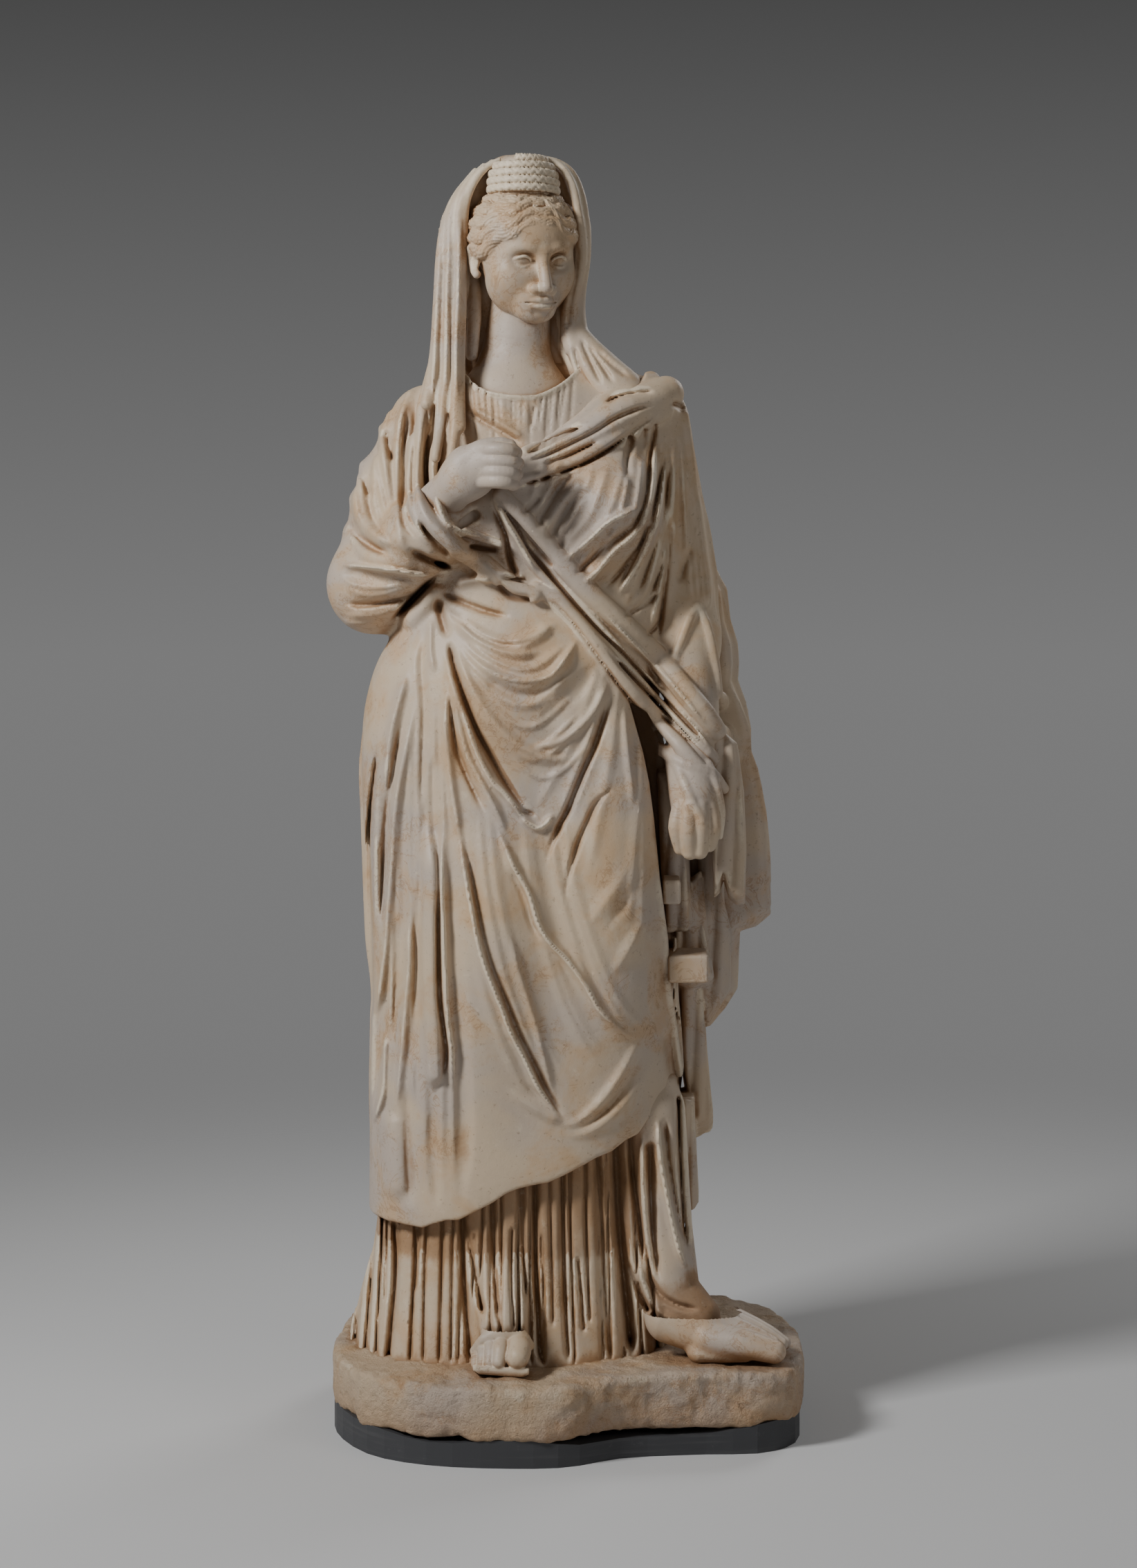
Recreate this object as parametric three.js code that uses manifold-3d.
// Marble statue of a standing draped woman, life size and a little over,
// carved in one piece with its rough plinth, held up by a grey levelling cradle.
// Millimetres, +Z up, figure facing -Y. Origin: middle of the underside.

import * as THREE from 'three';
import { mergeVertices } from 'three/addons/utils/BufferGeometryUtils.js';
import Module from 'manifold-3d';

const wasm = await Module();
wasm.setup();

// ---------------------------------------------------------------- driving dimensions

const TOP = 2100;
const PLINTH_TOP = 131;
const PLINTH_UNDERSIDE = 42;
const CRADLE_INSET = 12;
const GAP = 0.3;
const MANTLE_TOP = 1762;
const SKIRT_TOP = 600;
const SKIRT_FOOT = 112;
const PLEATS = 24;
const PLEAT_DEPTH = 14;
const ROLL_SIDES = 8;
const ROLL_REACH = 345;
const HEAD_CENTRE = new THREE.Vector3(-68, 2, 1936);
const HEAD_TURN = 24;
const HEAD_BOW = 8;

// The front elevation is drawn in perspective from this point, so that a fold
// keeps its drawn place whatever depth it is carved at.
const STATION = new THREE.Vector3(-34, -6375, 1780);

// Where a point drawn at (x, z) on the elevation lies when it is at depth y.
function placed(x, z, y) {
  const scale = 1 - y / STATION.y;
  const px = STATION.x + (x - STATION.x) * scale;
  const pz = STATION.z + (z - STATION.z) * scale;
  return new THREE.Vector3(px, y, pz);
}

// Where a point in space is drawn on the elevation.
function drawn(p) {
  const scale = 1 - p.y / STATION.y;
  const x = STATION.x + (p.x - STATION.x) / scale;
  const z = STATION.z + (p.z - STATION.z) / scale;
  return new THREE.Vector2(x, z);
}

// ---------------------------------------------------------------- distance fields
// A field is a function of a point: negative inside, about the distance outside.

function blend(a, b, reach) {
  const h = Math.max(reach - Math.abs(a - b), 0) / reach;
  return Math.min(a, b) - h * h * reach / 4;
}

function ball(centre, radii, turn = null) {
  const c = new THREE.Vector3(...centre);
  const r = new THREE.Vector3(...radii);
  const back = turn ? turn.clone().invert() : null;
  return (p) => {
    const q = p.clone().sub(c);
    if (back) q.applyQuaternion(back);
    q.divide(r);
    const near = q.length();
    const far = q.divide(r).length() + 1e-9;
    return near * (near - 1) / far;
  };
}

// A rounded limb through points, with a radius at each.
function limb(points, radii) {
  const joints = points.map((p) => (p.isVector3 ? p : new THREE.Vector3(...p)));
  return (p) => {
    let best = Infinity;
    for (let i = 0; i < joints.length - 1; i++) {
      const along = joints[i + 1].clone().sub(joints[i]);
      const offset = p.clone().sub(joints[i]);
      const t = THREE.MathUtils.clamp(offset.dot(along) / along.lengthSq(), 0, 1);
      const radius = THREE.MathUtils.lerp(radii[i], radii[i + 1], t);
      best = Math.min(best, offset.addScaledVector(along, -t).length() - radius);
    }
    return best;
  };
}

// Values at heights, joined by straight lines: rows are [height, value, value, ...].
function readRow(rows, height) {
  const last = rows.length - 1;
  if (height <= rows[0][0]) return rows[0].slice(1);
  if (height >= rows[last][0]) return rows[last].slice(1);
  const i = rows.findIndex((row) => row[0] > height);
  const t = (height - rows[i - 1][0]) / (rows[i][0] - rows[i - 1][0]);
  return rows[i].slice(1).map((v, k) => THREE.MathUtils.lerp(rows[i - 1][k + 1], v, t));
}

// An upright column. Rows are [z, left, right, front, back]; sections are super-ellipses.
function column(rows, power) {
  return (p) => {
    const [left, right, front, back] = readRow(rows, p.z);
    const dx = p.x - (left + right) / 2;
    const dy = p.y - (front + back) / 2;
    const u = Math.abs(dx) / ((right - left) / 2);
    const v = Math.abs(dy) / ((back - front) / 2);
    const r = (u ** power + v ** power) ** (1 / power) + 1e-6;
    return (r - 1) * Math.hypot(dx, dy) / r;
  };
}

// ---------------------------------------------------------------- folds
// A fold is a rounded ridge along a curve drawn on the front elevation.

function fold(points, width, rise) {
  const knots = points.map(([x, z]) => new THREE.Vector2(x, z));
  const path = new THREE.SplineCurve(knots).getPoints(points.length * 4);
  const box = new THREE.Box2().setFromPoints(path).expandByScalar(width * 2);
  return (at) => {
    if (!box.containsPoint(at)) return 0;
    let nearest = Infinity;
    for (let i = 0; i < path.length - 1; i++) {
      const along = path[i + 1].clone().sub(path[i]);
      const offset = at.clone().sub(path[i]);
      const t = THREE.MathUtils.clamp(offset.dot(along) / along.lengthSq(), 0, 1);
      nearest = Math.min(nearest, offset.addScaledVector(along, -t).length());
    }
    return rise * Math.exp(-((nearest / width) ** 2));
  };
}

// Folds spread evenly between a first and a last one.
function folds(count, first, last, width, rise) {
  const out = [];
  for (let i = 0; i < count; i++) {
    const t = count > 1 ? i / (count - 1) : 0;
    const points = first.map(([x, z], k) => [
      THREE.MathUtils.lerp(x, last[k][0], t),
      THREE.MathUtils.lerp(z, last[k][1], t),
    ]);
    out.push(fold(points, width, rise));
  }
  return out;
}

// Raises folds on the side of a field that faces forward.
function carved(field, list, turnAt) {
  return (p) => {
    const base = field(p);
    if (base > 60 || base < -60 || p.y > turnAt) return base;
    const at = drawn(p);
    const fade = THREE.MathUtils.smoothstep(turnAt - p.y, 0, 60);
    return list.reduce((f, ridge) => f - fade * ridge(at), base);
  };
}

// ---------------------------------------------------------------- solids

function toSolid(geometry) {
  geometry.deleteAttribute('normal');
  geometry.deleteAttribute('uv');
  const merged = mergeVertices(geometry, 1e-3);
  const vertProperties = new Float32Array(merged.attributes.position.array);
  const triVerts = new Uint32Array(merged.index.array);
  return new wasm.Manifold(new wasm.Mesh({ numProp: 3, vertProperties, triVerts }));
}

function toGeometry(solid) {
  const mesh = solid.getMesh();
  const geometry = new THREE.BufferGeometry();
  geometry.setAttribute('position', new THREE.BufferAttribute(mesh.vertProperties, 3));
  geometry.setIndex(new THREE.BufferAttribute(mesh.triVerts, 1));
  geometry.computeVertexNormals();
  return geometry;
}

// The outermost place where a ray leaves a field.
function surfaceAlong(field, from, direction, reach) {
  const p = new THREE.Vector3();
  let outer = reach;
  while (outer > 1) {
    const gap = field(p.copy(from).addScaledVector(direction, outer));
    if (gap < 0) break;
    outer -= Math.max(gap * 0.6, 1.5);
  }
  let inner = outer;
  let far = outer + 30;
  for (let i = 0; i < 14; i++) {
    const middle = (inner + far) / 2;
    if (field(p.copy(from).addScaledVector(direction, middle)) < 0) inner = middle;
    else far = middle;
  }
  return from.clone().addScaledVector(direction, Math.max(inner, 1));
}

// Turns an even angle into one that is denser towards the front.
function frontDense(angle, density) {
  return angle - density * Math.sin(angle);
}

// A tube of columns and rows drawn in onto a field from outside, round a spine.
function wrapTube(field, { columns, rows, density, spine, height }) {
  const geometry = new THREE.CylinderGeometry(1, 1, 1, columns, rows);
  const position = geometry.attributes.position;
  const v = new THREE.Vector3();
  for (let i = 0; i < position.count; i++) {
    v.fromBufferAttribute(position, i);
    const angle = frontDense(Math.atan2(v.x, v.z), density);
    const z = height(v.y + 0.5, angle);
    const [cx, cy] = readRow(spine, z);
    const middle = new THREE.Vector3(cx, cy, z);
    if (Math.hypot(v.x, v.z) < 0.5) {
      const level = height(v.y + 0.5, 0);
      position.setXYZ(i, ...readRow(spine, level), level);
      continue;
    }
    const direction = new THREE.Vector3(Math.sin(angle), -Math.cos(angle), 0);
    position.setXYZ(i, ...surfaceAlong(field, middle, direction, 520));
  }
  return toSolid(geometry);
}

// A globe drawn in onto a field from outside, round a centre.
function wrapGlobe(field, centre, columns, rows, density, turn = 0) {
  const geometry = new THREE.SphereGeometry(1, columns, rows);
  const position = geometry.attributes.position;
  const v = new THREE.Vector3();
  const middle = centre.isVector3 ? centre : new THREE.Vector3(...centre);
  for (let i = 0; i < position.count; i++) {
    v.fromBufferAttribute(position, i);
    const level = Math.hypot(v.x, v.z);
    const angle = frontDense(Math.atan2(v.x, v.z), density) + turn;
    const direction = new THREE.Vector3(level * Math.sin(angle), -level * Math.cos(angle), v.y);
    if (level < 1e-6) direction.set(0, 0, Math.sign(v.y));
    position.setXYZ(i, ...surfaceAlong(field, middle, direction.normalize(), 260));
  }
  return toSolid(geometry);
}

// A slab of cloth: an outline on the elevation, cut between two depths.
function slab(outline, front, back) {
  const shape = new THREE.Shape(outline.map(([x, z]) => new THREE.Vector2(x, z)));
  const geometry = new THREE.ExtrudeGeometry(shape, { depth: back - front, bevelEnabled: false });
  const position = geometry.attributes.position;
  for (let i = 0; i < position.count; i++) {
    const y = back - position.getZ(i);
    position.setXYZ(i, ...placed(position.getX(i), position.getY(i), y));
  }
  return toSolid(geometry);
}

// A rolled fold of cloth laid on a field along a curve drawn on the elevation.
function roll(field, points, radius, flatness, lift) {
  const knots = points.map(([x, z]) => {
    const from = placed(x, z, -420);
    const inward = placed(x, z, 200).sub(from).normalize();
    let travel = 0;
    while (travel < ROLL_REACH) {
      const gap = field(from.clone().addScaledVector(inward, travel));
      if (gap < 0) break;
      travel += Math.max(gap * 0.6, 1);
    }
    return from.addScaledVector(inward, travel - lift);
  });
  const section = new THREE.Shape();
  section.absellipse(0, 0, radius * flatness, radius, 0, Math.PI * 2);
  const outline = new THREE.Shape(section.getPoints(ROLL_SIDES / 2).slice(0, -1));
  const extrudePath = new THREE.CatmullRomCurve3(knots);
  const geometry = new THREE.ExtrudeGeometry(outline, { steps: points.length * 2, extrudePath });
  return toSolid(geometry);
}

function block(x, z, y, width, height, depth) {
  const geometry = new THREE.BoxGeometry(width, depth, height);
  geometry.translate(...placed(x, z, y));
  return toSolid(geometry);
}

// ---------------------------------------------------------------- the clothed figure

const SPINE = [
  [100, -70, 15],
  [1250, -70, 15],
  [1400, -45, 20],
  [1600, -25, 25],
  [1762, -40, 40],
  [1800, -95, 60],
  [2110, -84, 60],
];

// z, left, right, front, back of the mantle's column
const MANTLE = [
  [300, -330, 160, -176, 212],
  [450, -328, 192, -184, 210],
  [700, -322, 186, -182, 200],
  [800, -330, 178, -178, 195],
  [1000, -337, 160, -168, 190],
  [1100, -340, 156, -162, 190],
  [1200, -332, 156, -150, 186],
  [1260, -314, 160, -140, 176],
  [1320, -280, 165, -130, 160],
  [1400, -240, 175, -124, 150],
  [1500, -235, 182, -124, 150],
  [1600, -232, 186, -108, 155],
  [1680, -222, 180, -80, 148],
  [1725, -190, 150, -52, 130],
  [1766, -120, 60, -25, 100],
];

const SKIRT = [
  [112, -360, 178, -190, 235],
  [160, -354, 178, -184, 232],
  [220, -338, 180, -172, 226],
  [300, -320, 184, -162, 214],
  [420, -308, 192, -158, 204],
  [600, -306, 190, -156, 196],
];

// The mantle's lower hem: angle round the figure from the front, and height.
const HEM = [
  [-180, 380],
  [-120, 360],
  [-80, 325],
  [-45, 318],
  [-18, 352],
  [15, 405],
  [45, 490],
  [70, 540],
  [120, 480],
  [180, 380],
].map(([degrees, z]) => [THREE.MathUtils.degToRad(degrees), z]);

const bodyMasses = [
  [ball([-62, -70, 1215], [150, 92, 120]), 60],
  [ball([70, -92, 1524], [82, 72, 84]), 50],
  [ball([-99, -85, 1533], [84, 66, 84]), 50],
  [ball([68, -60, 900], [98, 126, 330]), 70],
  [ball([-130, -70, 780], [100, 130, 300]), 70],
];

const armMasses = [
  [limb([[-228, 40, 1655], [-282, 30, 1540], [-318, 14, 1400]], [66, 68, 66]), 50],
  [ball([-326, 8, 1384], [60, 66, 72]), 30],
  [limb([[-322, 4, 1390], [-265, -70, 1435], [-205, -128, 1492]], [60, 58, 52]), 40],
  [limb([[146, 25, 1664], [170, 30, 1540], [188, 22, 1400], [196, 0, 1300]], [56, 56, 58, 54]), 35],
  [limb([[196, 0, 1300], [202, -50, 1180], [204, -84, 1090]], [54, 50, 42]), 25],
];

const mantleColumn = column(MANTLE, 2.4);

function clothedBody(p) {
  const masses = [...bodyMasses, ...armMasses];
  return masses.reduce((f, [mass, reach]) => blend(f, mass(p), reach), mantleColumn(p));
}

const drapery = [
  // swags across the belly, from the pinch at the waist to the rolled edge
  ...folds(5, [[-195, 1352], [-90, 1292], [52, 1318]], [[-165, 1095], [-52, 985], [112, 1165]], 18, 19),
  // the fan that falls from the waist to the left hip
  ...folds(4, [[-215, 1352], [-270, 1240], [-322, 1090]], [[-196, 1330], [-205, 1150], [-180, 960]], 17, 17),
  // long folds over the bent leg, pulled towards the hem
  fold([[-150, 1060], [-60, 870], [0, 780], [110, 640]], 22, 18),
  fold([[-180, 1050], [-130, 750], [-60, 580], [8, 490], [100, 600]], 20, 17),
  fold([[39, 1100], [0, 1010], [-34, 920]], 15, -13),
  fold([[85, 1055], [5, 950], [-5, 850]], 15, -13),
  // upright folds on the left of the apron
  ...folds(4, [[-322, 1000], [-322, 700], [-325, 380]], [[-226, 940], [-232, 700], [-215, 350]], 14, 16),
  fold([[-194, 900], [-200, 640], [-198, 350]], 12, -13),
  // mantle drawn over the breast towards the left shoulder
  ...folds(5, [[175, 1672], [70, 1560], [-58, 1478]], [[206, 1600], [190, 1400], [168, 1275]], 15, 14),
  // sleeve of mantle over the bent arm
  ...folds(5, [[-232, 1735], [-250, 1600], [-252, 1500]], [[-262, 1722], [-350, 1560], [-378, 1430]], 15, 14),
  ...folds(3, [[-370, 1470], [-290, 1440], [-190, 1400]], [[-372, 1380], [-310, 1352], [-215, 1352]], 14, 13),
];

const figureField = carved(clothedBody, drapery, 30);

function mantleHeight(v, angle) {
  const [hem] = readRow(HEM, angle);
  const rows = [[0, hem], [0.3, 1000], [0.88, 1620], [1, MANTLE_TOP]];
  return readRow(rows, v)[0];
}

const mantle = wrapTube(figureField, {
  columns: 44,
  rows: 31,
  density: 0.4,
  spine: SPINE,
  height: mantleHeight,
});

// The fine pleats of the dress under the mantle.
const skirtColumn = column(SKIRT, 2.3);
const ankleCloth = limb(
  [[140, -70, 520], [160, -80, 330], [185, -95, 215], [215, -108, 180]], [56, 50, 44, 32],
);

function pleatedSkirt(p) {
  const angle = Math.atan2(p.x - SPINE[0][1], SPINE[0][2] - p.y);
  const wave = Math.sin(PLEATS * angle / 2 + 1.4 * Math.sin(2 * angle));
  const valley = PLEAT_DEPTH * (1 - Math.abs(wave)) ** 1.5;
  return blend(skirtColumn(p), ankleCloth(p), 30) + valley;
}

const skirt = wrapTube(pleatedSkirt, {
  columns: 88,
  rows: 3,
  density: 0.3,
  spine: SPINE,
  height: (v) => THREE.MathUtils.lerp(SKIRT_FOOT, SKIRT_TOP, v),
});

// ---------------------------------------------------------------- feet and hands

const leftFoot = wrapGlobe(
  limb([placed(205, 170, -118), placed(290, 140, -135), placed(345, 116, -150)], [36, 30, 24]),
  placed(275, 142, -132), 16, 8, 0,
);
const rightFoot = wrapGlobe(
  limb([placed(-105, 170, -180), placed(-105, 105, -235), placed(-100, 92, -262)], [40, 34, 22]),
  placed(-105, 112, -225), 14, 8, 0,
);
const wrist = limb([[-215, -118, 1488], placed(-160, 1560, -180)], [42, 34]);
const palm = ball([...placed(-138, 1590, -200)], [44, 34, 40]);
const knuckles = ball([...placed(-104, 1590, -208)], [28, 28, 36]);

function fistField(p) {
  return blend(blend(wrist(p), palm(p), 20), knuckles(p), 12);
}

const rightFist = wrapGlobe(fistField, placed(-150, 1570, -185), 18, 14, 0);
const leftHand = wrapGlobe(
  limb([placed(204, 1080, -86), placed(208, 1010, -120), placed(211, 952, -128)], [36, 36, 24]),
  placed(208, 1010, -112), 12, 9, 0,
);

// ---------------------------------------------------------------- rolled edges of the mantle

const diagonalRoll = roll(
  clothedBody,
  [[-118, 1526], [-75, 1475], [-28, 1405], [30, 1345], [85, 1290], [140, 1232], [195, 1170], [246, 1108]],
  34, 0.8, 8,
);
const shoulderRoll = roll(
  clothedBody,
  [[-95, 1578], [-30, 1610], [40, 1645], [100, 1685], [165, 1712]],
  30, 0.8, 6,
);
const slingRoll = roll(
  clothedBody,
  [[-178, 1655], [-224, 1600], [-240, 1545], [-222, 1500], [-185, 1470], [-95, 1405], [10, 1345]],
  22, 0.9, 3,
);

// ---------------------------------------------------------------- hanging cloth on the left side

const hangingMantle = slab([
  [195, 1610], [215, 1450], [240, 1410], [256, 1380], [262, 1330], [274, 1290], [274, 1230],
  [296, 1150], [296, 1110], [307, 1080], [320, 1010], [325, 960], [331, 850], [310, 832],
  [276, 822], [272, 720], [255, 692], [232, 664], [215, 700], [185, 900], [150, 1200], [160, 1500],
], 48, 104);
const frontFold = slab([
  [212, 1150], [250, 1150], [285, 1120], [296, 1040], [300, 950], [296, 862], [262, 850],
  [244, 880], [236, 1000], [220, 1080],
], -70, 60);

// One flattened upright fold: where it hangs, its half sizes, its top and its end.
function hangingFold(x, y, halfWidth, halfDepth, top, end) {
  const geometry = new THREE.CylinderGeometry(0.85, 1.1, 1, 10, 1);
  geometry.rotateX(Math.PI / 2);
  geometry.scale(halfWidth, halfDepth, top - end);
  geometry.translate(x, y, (top + end) / 2);
  return toSolid(geometry);
}

// The zigzag hem: folds side by side, each ending at its own height.
const zigzag = [
  hangingFold(178, -34, 26, 24, 1075, 812),
  hangingFold(190, 6, 40, 26, 1075, 696),
  hangingFold(192, 46, 42, 26, 1075, 464),
  hangingFold(186, 84, 38, 24, 1000, 560),
  hangingFold(180, -6, 34, 26, 700, 330),
  hangingFold(178, 120, 30, 26, 900, 430),
];

// Two square bosses of uncut stone, left where struts once stood.
const bosses = [
  block(168, 880, -88, 46, 40, 68),
  block(190, 753, -80, 90, 48, 88),
];

// ---------------------------------------------------------------- head and veil

const headTurn = new THREE.Quaternion().setFromEuler(new THREE.Euler(
  THREE.MathUtils.degToRad(HEAD_BOW),
  0,
  THREE.MathUtils.degToRad(HEAD_TURN),
  'ZXY',
));
const headBack = headTurn.clone().invert();

// Masses of the head in its own axes: x to its side, -y forward, z up.
const skullMasses = [
  [ball([0, 18, 22], [74, 88, 88]), 20],
  [ball([0, -22, -30], [60, 62, 92]), 25],
  [ball([0, -56, -104], [24, 22, 18]), 22],
  [ball([0, 2, 50], [88, 88, 44]), 12],
  [ball([0, -66, 8], [44, 16, 12]), 12],
  [limb([[0, -78, 0], [0, -96, -48]], [8, 11]), 8],
  [ball([0, -78, -78], [22, 12, 9]), 8],
  [ball([26, -62, -10], [15, 13, 12]), 4],
  [ball([-26, -62, -10], [15, 13, 12]), 4],
];

function headField(p) {
  const q = p.clone().sub(HEAD_CENTRE).applyQuaternion(headBack);
  return skullMasses.reduce((f, [mass, reach]) => blend(f, mass(q), reach), Infinity);
}

const neck = limb([[-84, 34, 1690], [-82, 26, 1760], [-74, 6, 1850]], [64, 52, 50]);

function headAndNeck(p) {
  return blend(headField(p), neck(p), 10);
}

const HEAD_SPINE = [
  [1690, -82, 30],
  [1800, -78, 18],
  [1860, -68, 4],
  [2040, -66, 12],
];
const HEAD_ROWS = [
  [0, 1690],
  [0.12, 1790],
  [0.84, 1985],
  [1, 2034],
];
const head = wrapTube(headAndNeck, {
  columns: 28,
  rows: 20,
  density: 0.3,
  spine: HEAD_SPINE,
  height: (v) => readRow(HEAD_ROWS, v)[0],
});

// The coiled knot of hair on the crown.
const COILS = 4;
const coil = [];
for (let i = 0; i <= COILS * 2; i++) {
  const rise = i / (COILS * 2);
  const bulge = 1 + 0.05 * Math.cos(i * Math.PI);
  coil.push(new THREE.Vector2(62 * bulge * Math.sqrt(1 - rise ** 2.6), -30 + 78 * rise));
}
const knotGeometry = new THREE.LatheGeometry([new THREE.Vector2(0, -30), ...coil], 16);
knotGeometry.rotateX(Math.PI / 2);
knotGeometry.translate(...placed(-72, 2050, 22));
const knot = toSolid(knotGeometry);

const VEIL = [
  [1620, -190, 110, -10, 132],
  [1700, -214, 118, -10, 146],
  [1750, -215, 76, 0, 150],
  [1800, -213, 20, 6, 150],
  [1850, -209, 12, -8, 152],
  [1900, -207, 24, -18, 158],
  [1950, -205, 32, -22, 160],
  [2000, -198, 28, -18, 156],
  [2040, -183, 16, -10, 142],
  [2075, -152, -1, 4, 118],
  [TOP, -112, -34, 24, 88],
];

const veilColumn = column(VEIL, 2.2);
const veilBands = [
  [limb([placed(-186, 1990, 0), placed(-190, 1850, -12), placed(-192, 1740, -48), placed(-182, 1665, -92)],
    [20, 24, 26, 22]), 20],
  [limb([placed(14, 1975, 20), placed(10, 1880, 15), placed(14, 1800, 10), placed(60, 1735, -15), placed(110, 1690, -40)],
    [16, 14, 22, 36, 30]), 25],
];

function veilField(p) {
  return veilBands.reduce((f, [band, reach]) => blend(f, band(p), reach), veilColumn(p));
}

const veilMass = wrapTube(veilField, {
  columns: 34,
  rows: 13,
  density: 0.3,
  spine: SPINE,
  height: (v) => THREE.MathUtils.lerp(VEIL[0][0], TOP, 1 - (1 - v) ** 1.3),
});

const faceOpening = slab([
  [-134, 2120], [-158, 2055], [-166, 2010], [-160, 1960], [-164, 1850], [-166, 1760], [-160, 1690],
  [20, 1690], [0, 1760], [-18, 1800], [0, 1850], [20, 1930], [14, 1990], [4, 2050], [-8, 2120],
], -300, 42);
const veil = veilMass.subtract(faceOpening);

// ---------------------------------------------------------------- plinth and cradle

const PLINTH_EDGE = [
  [-395, -40], [-380, -150], [-320, -262], [-230, -318], [-110, -340], [0, -335], [90, -285],
  [220, -262], [330, -250], [385, -190], [398, -60], [392, 90], [340, 230], [230, 310],
  [60, 340], [-140, 336], [-290, 285], [-370, 150],
];
const plinthEdge = new THREE.CatmullRomCurve3(
  PLINTH_EDGE.map(([x, y]) => new THREE.Vector3(x, y, 0)), true,
);

// The broken underside of the plinth dips and rises round its edge.
function undersideHeight(turn) {
  const a = turn * Math.PI * 2;
  return PLINTH_UNDERSIDE + 7 * Math.sin(2 * a + 0.6) + 5 * Math.sin(5 * a) + 3 * Math.sin(9 * a + 1);
}

// Roughly dressed stone: a small uneven set-back that differs at each place.
function roughness(turn, level) {
  const a = turn * Math.PI * 2;
  return 4 * Math.sin(11 * a + level * 2) + 3 * Math.sin(17 * a + level * 5) - 6;
}

// A slab round the plinth's edge. Rings are [inset, height] or functions of the turn.
function ringSlab(rings, middleBottom, middleTop) {
  const columns = 48;
  const geometry = new THREE.CylinderGeometry(1, 1, 1, columns, rings.length - 1);
  const position = geometry.attributes.position;
  const v = new THREE.Vector3();
  for (let i = 0; i < position.count; i++) {
    v.fromBufferAttribute(position, i);
    if (Math.hypot(v.x, v.z) < 0.5) {
      position.setXYZ(i, 0, 0, v.y > 0 ? middleTop : middleBottom);
      continue;
    }
    const column = Math.round((Math.atan2(v.x, v.z) / (2 * Math.PI) + 1) * columns) % columns;
    const turn = column / columns;
    const ring = Math.round((v.y + 0.5) * (rings.length - 1));
    position.setXYZ(i, ...rings[ring](turn));
  }
  return toSolid(geometry);
}

function edgePoint(turn, inset, z) {
  const p = plinthEdge.getPoint(turn);
  return p.multiplyScalar(1 - inset / p.length()).setZ(z);
}

const plinth = ringSlab([
  (turn) => edgePoint(turn, 0, undersideHeight(turn)),
  (turn) => edgePoint(turn, -roughness(turn, 1), 74),
  (turn) => edgePoint(turn, -roughness(turn, 2), 112),
  (turn) => edgePoint(turn, 14 - roughness(turn, 3), PLINTH_TOP),
], PLINTH_UNDERSIDE, PLINTH_TOP);

// The cradle's top lies on the same slopes as the plinth's underside, a hair lower.
const cradle = ringSlab([
  (turn) => edgePoint(turn, CRADLE_INSET, 0),
  (turn) => {
    const p = edgePoint(turn, 0, undersideHeight(turn));
    const middle = new THREE.Vector3(0, 0, PLINTH_UNDERSIDE);
    const inward = 1 - CRADLE_INSET / Math.hypot(p.x, p.y);
    return middle.lerp(p, inward).setZ(THREE.MathUtils.lerp(PLINTH_UNDERSIDE, p.z, inward) - GAP);
  },
], 0, PLINTH_UNDERSIDE - GAP);

// ---------------------------------------------------------------- scene

const carvedPieces = [
  mantle, skirt, leftFoot, rightFoot, rightFist, leftHand,
  diagonalRoll, shoulderRoll, slingRoll, hangingMantle, frontFold, ...zigzag, ...bosses,
  head, knot, veil,
];
const statueSolid = carvedPieces.reduce((whole, piece) => whole.add(piece), plinth);

const marble = new THREE.MeshStandardMaterial({ color: 0xcbbfae, roughness: 0.62, metalness: 0 });
const darkSteel = new THREE.MeshStandardMaterial({ color: 0x2f2f31, roughness: 0.55, metalness: 0.2 });

const statueMesh = new THREE.Mesh(toGeometry(statueSolid), marble);
statueMesh.name = 'statue';
const cradleMesh = new THREE.Mesh(toGeometry(cradle), darkSteel);
cradleMesh.name = 'cradle';

const model = new THREE.Group();
model.add(statueMesh, cradleMesh);

// The origin goes under the middle of everything.
const middle = new THREE.Box3().setFromObject(model).getCenter(new THREE.Vector3());
for (const mesh of [statueMesh, cradleMesh]) {
  mesh.geometry.translate(-middle.x, -middle.y, 0);
}

export default model;
